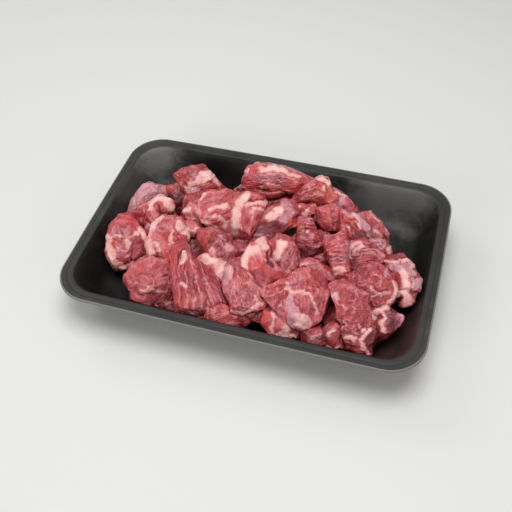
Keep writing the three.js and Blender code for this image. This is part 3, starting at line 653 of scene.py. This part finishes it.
        ["pale", 7, [2, 4, 9, 1, 8, -5], 0.6], ["cut", 0.8, [13, 2, 16, 0, 17, -6], 0.5],
    ]},
    "right_corner": {"at": (103, -46, 20), "tone": -2, "lines": 0.6, "grain": 60, "marks": [
        ["fat", 2.2, [-12, 13, -9, 9, -7, 5]], ["fat", 2, [-9, 9, -4, 10, -2, 12, 2, 14]],
        ["fat", 1.4, [-2, 11, 0, 6, -2, 3, 1, -1, 1, -3]], ["fat", 1.6, [-12, -3, -10, -5]],
        ["silkAndSheen", 2.4, [11, 11, 12, 6]], ["fat", 1.5, [-10, -6, -12, -10, -12, -14, -7, -20]],
        ["dark", 6, [-5, -7, -8, -14], 0.8], ["dark", 6, [5, 8, 6, 2], 0.45],
    ]},
    "front_right_low": {"at": (89, -63, 22), "tone": -1.5, "lines": 0.7, "grain": 10, "marks": [
        ["fat", 1.5, [7, 8, 4, 4, 2.5, 0, 4, -4, 8, -8]], ["fat", 1.5, [0, 10, 3, 7.5]],
        ["pale", 3, [-10, -0.5, -6, 0, -3, 0]], ["fat", 1.5, [-10, -1, -4, 0], 0.8],
        ["vein", 1, [-10, 12, -10, 5]], ["vein", 0.9, [-3, 13, -4, 9]],
        ["pale", 3, [-8, 7, -5, 9, -3, 6], 0.8], ["fat", 1.4, [-1, 1, -2, -1], 0.8],
        ["dark", 5, [9, 5, 9, -2], 0.7], ["red", 4, [-5, -4, 2, -6], 0.5],
    ]},
    "front_toe": {"at": (-8, -69, 22), "tone": 0.5, "lines": 0.7, "grain": 10, "marks": [
        ["vein", 1, [-10, 8, -11, -1]], ["red", 5, [-5, 0, 6, -4], 0.5], ["pale", 3, [0, -5, 9, -6]],
    ]},
    "bottom_fatty": {"at": (32, -66, 20), "tone": 1.7, "grain": 80, "marks": [
        ["red", 7, [-9, 9, -9, 3, -6, -1]],
        ["fat", 1.7, [-4, 12, -4, 8, -2.5, 5, -4, 2, -4, 0, -6, -2, -3, -6]],
        ["red", 4, [-1, -1, 0, -4], 0.9], ["fat", 4.4, [5, -1, 4, -6]],
        ["fat", 1.7, [0, -6.5, 6, -7, 12, -8]], ["dark", 3, [9, -3, 12, -5], 0.6],
        ["pale", 4, [-2, 10, 1, 5], 0.9],
    ]},
    "bottom_red": {"at": (70, -63, 20), "tone": -0.9, "grain": 60, "marks": [
        ["fat", 1.1, [-1.5, 1, 0, 4, 1, 5]], ["fat", 1.3, [-2, -7, 2, -8.5, 5, -6], 0.9],
        ["red", 4, [3, -3, 3, 3], 0.8], ["dark", 5, [-5, 3, -5, -6], 0.6],
    ]},
    "bottom_pink": {"at": (57, -67, 19), "tone": -0.5, "grain": 40, "marks": [
        ["pale", 4, [1, -3, 4, 1, 5, 5]], ["silkAndSheen", 2.4, [1, -1, 4, 2], 0.9],
        ["dark", 6, [-5, 0, -3, 5], 0.7],
    ]},
    "bottom_left": {"at": (-49, -71, 20), "tone": -2.5, "grain": 40, "marks": []},
    "under_front": {"at": (9, -64, 20), "tone": -1.3, "grain": 20, "marks": []},
}

# Chunks under the heap, seen only in its gaps: place, tone (set low as painted shade), angle of the fibres
lowerChunks = {
    "low_left": ((-92, 7, 16), -0.6, 10),
    "low_back_left": ((-58, 32, 17), -0.5, 70),
    "low_back": ((-8, 50, 18), -0.6, 30),
    "low_back_right": ((42, 42, 17), -0.5, 100),
    "low_right": ((80, 12, 16), -0.6, 50),
    "low_mid_left": ((-50, -12, 17), -0.6, 20),
    "low_middle": ((-8, 6, 19), -0.6, 80),
    "low_mid_right": ((40, 2, 19), -0.6, 40),
    "low_front": ((28, -42, 16), -0.6, 10),
    "low_front_right": ((80, -38, 16), -0.6, 60),
}
for name, (at, tone, grain) in lowerChunks.items():
    chunks[name] = {"at": at, "tone": tone, "grain": grain, "marks": []}

fattyPieces = ["fat_band", "fat_ring", "fat_knob", "fatty_fold", "fat_bits", "fat_curl"]
fattyPieces += ["pale_wedge", "fat_scraps", "back_shoulder", "bottom_fatty"]
silverPieces = ["silver_band", "silver_twist", "pink_fold", "lilac_slab", "bottom_pink"]

# Relief, in mm unless it is a share
meatRelief = {
    "voxel": 0.75,
    "lowerVoxel": 1.4,
    "quickCoarse": 1.6,
    "smoothings": 3,
    "smoothing": 0.5,
    "grow": 0.75,
    "warp": 0.9,
    "folds": 1.5,
    "lumps": 0.4,
    "bundles": 0.34,
    "threads": 0.2,
    "grit": 0.2,
    "lines": 0.45,
    "markReach": 3.0,
    "raggedness": 1.35,
    "faintScale": 1.6,
    "faintShift": 0.9,
    "backFrom": -7.0,
    "backTo": -12.0,
    "endStretch": 3.2,
    "endSlant": 0.8,
    "leastTurn": 8,
    "settleRounds": 10,
    "settleShare": 0.6,
    "grainShift": 3.7,
}

# How wide the lumps of each relief are, with (across, along, deep) where they follow the fibres
lumpSizes = {
    "folds": 12,
    "foldStray": 9,
    "bundles": (3.4, 18, 4.2),
    "threads": (1.7, 8, 2.0),
    "lumps": 8,
    "smallLumps": 3.6,
    "grit": 1.9,
    "warp": 6,
    "raggedWide": 5.5,
    "raggedTight": 2.1,
}

# Knife cuts: how many, degrees of tilt, spin's stray, how far out they pass, share taken off
knife = {"cuts": 5, "tilt": (14, 46), "stray": 0.8, "limit": (0.74, 0.9), "take": 0.92}

# How far the marks stand out of the flesh, and from where to where inside their strokes
markRises = {"fat": (0.4, -0.6, 0.8), "vein": (0.16, -0.5, 0.4), "cut": (-1.8, -1.0, 0.6)}

# Marbling where the photo doesn't reach: lump size, level, gain, reaches kept clear, seed
marbling = {
    "fat": (15, 0.38, 9, 2, 22),
    "dark": (13, 0.25, 5, 2, 23),
    "pale": (9, 0.3, 7, 1, 24),
}
marbledVeins = {"size": 11, "width": 0.6, "gain": 16}

markKinds = ("fat", "vein", "silkAndSheen", "red", "dark", "pale", "cut")
latticePrimes = (73856093, 19349663, 83492791, 2654435761)


def latticeValue(cell, seed):
    # one fixed pseudo-random number from 0 to 1 for each corner of the lattice
    first, second, third, last = latticePrimes
    mixed = cell[:, 0] * first ^ cell[:, 1] * second ^ cell[:, 2] * third ^ seed * last
    mixed = (mixed ^ (mixed >> 13)) * 1274126177 & 0x7FFFFFFF
    return ((mixed ^ (mixed >> 15)) & 0xFFFF) / 65535


def cloud(points, size, seed):
    # smooth noise from -1 to 1 whose lumps are about `size` across
    scaled = points / np.array(size)
    base = np.floor(scaled).astype(np.int64)
    part = scaled - base
    part = part * part * (3 - 2 * part)
    total = np.zeros(len(points))
    for corner in itertools.product((0, 1), repeat=3):
        weight = np.prod(np.where(corner, part, 1 - part), axis=1)
        total += weight * latticeValue(base + np.array(corner), seed)
    return total * 2 - 1


def ease(values, low, high):
    share = np.clip((values - low) / (high - low), 0, 1)
    return share * share * (3 - 2 * share)


def strokeDistance(flat, stroke):
    # distance in mm from each flat point to a stroke's middle line
    points = np.array(stroke, float).reshape(-1, 2)
    nearest = np.linalg.norm(flat - points[0], axis=1)
    for start, end in zip(points, points[1:]):
        along = end - start
        share = np.clip((flat - start) @ along / (along @ along), 0, 1)
        nearest = np.minimum(nearest, np.linalg.norm(flat - start - share[:, None] * along, axis=1))
    return nearest


def faceFrame(at):
    facing = np.array(viewpoint, float) - at
    facing /= np.linalg.norm(facing)
    right = np.cross((0, 0, 1), facing)
    right /= np.linalg.norm(right)
    return right, np.cross(facing, right), facing


def fibreCoordinates(chunk, local):
    # (across, along, deep) in mm for each point
    x, y, deep = local.T
    centre = chunk.get("fan") or chunk.get("ring")
    if "ends" in chunk:
        angle = math.radians(chunk["ends"])
        across = y * math.cos(angle) - x * math.sin(angle)
        along = (x * math.cos(angle) + y * math.sin(angle)) * meatRelief["endStretch"]
        along = along + deep * meatRelief["endSlant"]
    elif centre is None:
        angle = math.radians(chunk["grain"])
        across = y * math.cos(angle) - x * math.sin(angle)
        along = x * math.cos(angle) + y * math.sin(angle)
    else:
        stepX, stepY = x - centre[0], y - centre[1]
        away = np.hypot(stepX, stepY)
        turn = np.arctan2(stepY, stepX) - math.atan2(-centre[1], -centre[0])
        turn = (turn + math.pi) % (2 * math.pi) - math.pi
        arc = turn * max(math.hypot(*centre), meatRelief["leastTurn"])
        across, along = (arc, away) if "fan" in chunk else (away, arc)
    return np.stack([across, along, deep], axis=1)


def markFields(chunk, local, seed):
    # for each kind, how far inside its strokes a point lies, in mm, from -reach to reach
    reach = meatRelief["markReach"]
    ragged = meatRelief["raggedness"]
    wide = np.stack([cloud(local, lumpSizes["raggedWide"], seed + n) for n in (11, 12)], axis=1)
    tight = np.stack([cloud(local, lumpSizes["raggedTight"], seed + n) for n in (13, 14)], axis=1)
    flat = local[:, :2] + (wide + 0.6 * tight) * ragged
    behind = ease(local[:, 2], meatRelief["backFrom"], meatRelief["backTo"]) * 2 * reach
    fields = {kind: np.full(len(local), -reach) for kind in markKinds}
    for kind, width, stroke, *strength in chunk["marks"]:
        inside = width / 2 - strokeDistance(flat, stroke) - behind
        most = reach
        if strength:
            most = strength[0] * meatRelief["faintScale"] - meatRelief["faintShift"]
        fields[kind] = np.maximum(fields[kind], np.clip(inside, -reach, most))
    return fields


def addMarbling(fields, points, local, seed):
    # seeded veins and patches on the sides that the strokes don't reach
    reach = meatRelief["markReach"]
    shown = 1 - ease(local[:, 2], meatRelief["backFrom"] + 3, meatRelief["backTo"])
    lines = np.abs(cloud(points, marbledVeins["size"], seed + 21))
    added = {"vein": marbledVeins["width"] - lines * marbledVeins["gain"] - shown * 2 * reach}
    for kind, (size, level, gain, clear, step) in marbling.items():
        added[kind] = (cloud(points, size, seed + step) - level) * gain - shown * clear * reach
    for kind, field in added.items():
        fields[kind] = np.maximum(fields[kind], np.clip(field, -reach, reach))


def meltedMesh(name, voxel):
    # the solid's shape with its facets melted away
    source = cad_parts[name]
    piece = addObject("chunk_" + name, source.data.copy())
    piece.data.materials.clear()
    remesh = piece.modifiers.new("melt", "REMESH")
    remesh.mode = "VOXEL"
    remesh.voxel_size = voxel * mm
    smooth = piece.modifiers.new("settle", "SMOOTH")
    smooth.factor = meatRelief["smoothing"]
    smooth.iterations = meatRelief["smoothings"]
    return piece


def vertexTriples(owner, field):
    values = np.zeros(len(owner) * 3)
    owner.foreach_get(field, values)
    return values.reshape(-1, 3)


def shaveFaces(local, seed):
    # knife-cut faces: seeded planes that flatten the side toward the viewpoint
    chance = np.random.default_rng(seed)
    for number in range(knife["cuts"]):
        tilt = math.radians(chance.uniform(*knife["tilt"]))
        spin = math.tau * (number + chance.uniform(0, knife["stray"])) / knife["cuts"]
        side = np.array([math.cos(spin), math.sin(spin), 1.0])
        side *= (math.sin(tilt), math.sin(tilt), math.cos(tilt))
        height = local @ side
        limit = height.max() * chance.uniform(*knife["limit"])
        local = local - np.maximum(height - limit, 0)[:, None] * side * knife["take"]
    return local


def standOut(mesh, points, normals):
    # how far each vertex stands out of its surroundings, in mm
    ends = np.zeros(len(mesh.edges) * 2, np.int64)
    mesh.edges.foreach_get("vertices", ends)
    first, second = ends.reshape(-1, 2).T
    count = len(points)
    degree = np.bincount(first, minlength=count) + np.bincount(second, minlength=count)
    settled = points.copy()
    share = meatRelief["settleShare"]
    for _ in range(meatRelief["settleRounds"]):
        for axis in range(3):
            total = np.bincount(first, settled[second, axis], count)
            total += np.bincount(second, settled[first, axis], count)
            settled[:, axis] = (1 - share) * settled[:, axis] + share * total / degree
    return ((points - settled) * normals).sum(axis=1)


def movePoints(mesh, points):
    mesh.vertices.foreach_set("co", (points * mm).ravel())
    mesh.update()


def sculptChunk(piece, chunk, seed):
    mesh = piece.data
    at = np.array(chunk["at"], float)
    turn = np.array(faceFrame(at))
    local = (vertexTriples(mesh.vertices, "co") / mm - at) @ turn.T
    local = shaveFaces(local, seed)
    points = at + local @ turn
    movePoints(mesh, points)
    normals = vertexTriples(mesh.vertex_normals, "vector")

    fibres = fibreCoordinates(chunk, local)
    fields = markFields(chunk, local, seed)
    addMarbling(fields, points, local, seed)

    relief, sizes = meatRelief, lumpSizes
    lines = chunk.get("lines", relief["lines"])
    stray = [cloud(points, sizes["foldStray"], seed + 31 + axis) for axis in range(3)]
    folds = np.abs(cloud(points + 3.5 * np.stack(stray, axis=1), sizes["folds"], seed + 30))
    bundles = 0.5 - np.abs(cloud(fibres, sizes["bundles"], seed + 1))
    threads = cloud(fibres, sizes["threads"], seed + 2)
    lumps = cloud(points, sizes["lumps"], seed + 3) + 0.6 * cloud(points, sizes["smallLumps"], seed + 4)
    smooth = ease(np.maximum(fields["fat"], fields["silkAndSheen"]), -0.4, 0.8)
    softness = (0.3 + 0.7 * lines) * (1 - 0.7 * smooth)
    height = relief["grow"] + relief["lumps"] * lumps
    height += relief["folds"] * (1.1 - 0.7 * min(lines, 1)) * (np.minimum(folds * 3, 1) - 0.8)
    height += softness * (relief["bundles"] * bundles + relief["threads"] * threads)
    height += relief["grit"] * cloud(points, sizes["grit"], seed + 8)
    for kind, (rise, low, high) in markRises.items():
        height += rise * ease(fields[kind], low, high)
    points += normals * height[:, None]
    warp = np.stack([cloud(points, sizes["warp"], seed + 5 + axis) for axis in range(3)], axis=1)
    points += warp * relief["warp"]

    movePoints(mesh, points)
    # how far each vertex stands out, kept to paint highlight on crests and shade in hollows
    fields["crestLightAndShade"] = np.clip(standOut(mesh, points, normals), -1, 1)
    fields["tone"] = np.full(len(points), chunk["tone"])
    fields["lines"] = np.full(len(points), lines)
    storeFields(mesh, fields)
    grain = mesh.attributes.new("grain", "FLOAT_VECTOR", "POINT")
    shifted = fibres + seed * relief["grainShift"]
    grain.data.foreach_set("vector", shifted.astype(np.float32).ravel())
    mesh.shade_smooth()


def slotOf(name):
    if name in fattyPieces:
        return "fatty_meat"
    return "silverskin_meat" if name in silverPieces else "lean_meat"


def makeMeat():
    looks = {slot: makeFlesh(slot, look) for slot, look in fleshLooks.items()}
    coarse = 1.0
    pieces = {}
    for name in chunks:
        voxel = meatRelief["lowerVoxel" if name in lowerChunks else "voxel"]
        pieces[name] = meltedMesh(name, voxel * coarse)
    graph = bpy.context.evaluated_depsgraph_get()
    melted = {}
    for name, piece in pieces.items():
        melted[name] = bpy.data.meshes.new_from_object(piece.evaluated_get(graph))
    triangles = 0
    for order, (name, piece) in enumerate(pieces.items()):
        piece.modifiers.clear()
        piece.data = melted[name]
        sculptChunk(piece, chunks[name], order * 31 + 5)  # seeds far enough apart for every noise
        slot = slotOf(name)
        piece.data.materials.clear()
        piece.data.materials.append(looks[slot])
        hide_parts(name)
        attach(piece, "root")
        triangles += 2 * len(piece.data.polygons)
    print("meat made:", len(pieces), "pieces,", triangles, "triangles")


# Flesh colours and finish, shared by the three kinds of piece
fleshColours = {
    "deep": (0.17, 0.0115, 0.0175, 1),
    "lean": (0.365, 0.036, 0.047, 1),
    "rosy": (0.56, 0.104, 0.118, 1),
    "streakAndGlint": (0.68, 0.25, 0.265, 1),
    "bright": (0.56, 0.045, 0.042, 1),
    "purple": (0.10, 0.010, 0.020, 1),
    "paleAndSheen": (0.64, 0.205, 0.225, 1),
    "lilac": (0.60, 0.30, 0.345, 1),
    "fatPink": (0.77, 0.345, 0.322, 1),
    "cream": (0.86, 0.54, 0.5, 1),
    "creaseShade": (0.05, 0.003, 0.006, 1),
    "salmon": (0.67, 0.112, 0.08, 1),
    "mauve": (0.47, 0.14, 0.195, 1),
}

fleshLooks = {
    "lean_meat": {"streakGlints": 0.6, "wetness": 0.5, "roughness": 0.3},
    "fatty_meat": {"streakGlints": 0.65, "wetness": 0.4, "roughness": 0.33},
    "silverskin_meat": {"streakGlints": 0.6, "wetness": 0.55, "roughness": 0.27},
}

# Noises in the fibres' own frame: scale (across, along, deep), detail, roughness
fleshNoises = {
    "coarse": ((0.42, 0.06, 0.4), 2.0, 0.5),
    "fine": ((0.95, 0.12, 0.9), 3.0, 0.65),
    "mottle": ((0.13, 0.11, 0.13), 3.0, 0.55),
    "speck": ((0.6, 0.42, 0.6), 3.0, 0.7),
    "dapple": ((0.32, 0.16, 0.32), 3.0, 0.6),
    "hue": ((0.085, 0.06, 0.085), 2.0, 0.5),
}
strandScale = (0.62, 0.075, 0.6)

fleshFinish = {
    "IOR": 1.45,
    "Subsurface Weight": 0.1,
    "Subsurface Radius": (1.0, 0.3, 0.25),
    "Subsurface Scale": 0.0012,
    "Coat Roughness": 0.14,
    "Coat IOR": 1.35,
}
fleshBump = 1.0 * mm


def makeFlesh(name, look):
    colours = fleshColours
    table = bench(name)
    tone, crestLightAndShade, lines = [table.value(field) for field in ("tone", "crestLightAndShade", "lines")]
    noises = {}
    for key, (scale, detail, roughness) in fleshNoises.items():
        noises[key] = table.noise(table.vector("grain", scale), 1.0, detail, roughness) - 0.5
    coarse, fine, mottle, speck, dapple, hue = noises.values()  # each from -0.5 to 0.5
    strand = table.cells(table.vector("grain", strandScale), 1.0)
    fray = speck * 3.2 + mottle * 2.0

    fibre = (fine * 2.6 + (0.42 - strand) * 0.9 + coarse * 0.9) * (lines * 0.75 + 0.25)
    flecks = mottle * 1.4 + dapple * 1.4 + speck * 2.0
    # Lightness: crests come out lighter as painted highlight and hollows darker as painted shade, and the
    # tone darkens chunks that lie in shade
    lightness = fibre + flecks + crestLightAndShade + tone * 0.6
    colour = table.blend(lightness.step(-1.0, 0.15), colours["deep"], colours["lean"])
    colour = table.blend(lightness.step(-0.1, 0.9), colour, colours["rosy"])
    colour = table.blend(hue.step(0.02, 0.22) * 0.5, colour, colours["salmon"])
    colour = table.blend((hue * -1).step(0.02, 0.22) * 0.5, colour, colours["mauve"])
    # pale pink streaks: partly the fibres' own pale lines, partly painted glints and sheen, strongest on
    # crests
    streakGlints = (fibre * 0.55 + speck + dapple * 0.6 + crestLightAndShade * 0.45 + tone * 0.1).step(0.12, 0.55)
    colour = table.blend(streakGlints * look["streakGlints"], colour, colours["streakAndGlint"])

    # the marks, each frayed by the flesh's noise
    red = (table.value("red") + fray).step(-1.1, 1.3)
    colour = table.blend(red * (0.6 + fibre * 0.15), colour, colours["bright"])
    # pale marks: pale flesh, and where broad and faint, painted sheen
    pale = (table.value("pale") + fray).step(-1.3, 1.1)
    colour = table.blend(pale * (0.6 + fibre * 0.3), colour, colours["paleAndSheen"])
    # dark marks: dark flesh, and painted shadow where they lie along gaps and lower edges
    dark = (table.value("dark") + fray).step(-1.2, 1.3)
    colour = table.blend(dark * 0.8, colour, colours["purple"])
    # silverskin marks; the wide faint ones are painted sheen
    silkAndSheen = (table.value("silkAndSheen") + fray * 0.7).step(-0.8, 0.8)
    colour = table.blend(silkAndSheen * (0.8 + mottle * 0.4), colour, colours["lilac"])
    vein = (table.value("vein") + speck * 2.4 + fine * 1.2).step(-0.5, 0.6)
    colour = table.blend(vein * 0.62, colour, colours["fatPink"])
    fatField = table.value("fat") + fray * 0.6
    fat = fatField.step(-1.2, 0.1)
    colour = table.blend(fat * 0.88, colour, colours["fatPink"])
    core = (fatField + speck * 1.8 + fine * 1.2).step(0.0, 1.0)
    colour = table.blend(core * 0.62, colour, colours["cream"])
    # cut marks are dented creases, painted near black as shade
    cut = (table.value("cut") + fray * 0.3).step(-0.9, 0.7)
    colour = table.blend(cut * 0.9, colour, colours["creaseShade"])

    ribs = (fine * 0.9 - strand * 0.8 + coarse * 0.5 + 0.7) * (lines * 0.8 + 0.2) * (1 - fat * 0.6)
    height = ribs + speck * 0.9 + dapple * 1.2 + mottle * 0.8 + fat * 0.2
    table.shade({
        **fleshFinish,
        "Base Color": colour,
        "Roughness": look["roughness"] + speck * 0.4 - silkAndSheen * 0.04 + fat * 0.05,
        "Coat Weight": look["wetness"],
        "Normal": table.bump(height, fleshBump),
    })
    return table.material


makeCamera()
makeStudio()
print("camera and studio ready")
makeTray()
makeMeat()
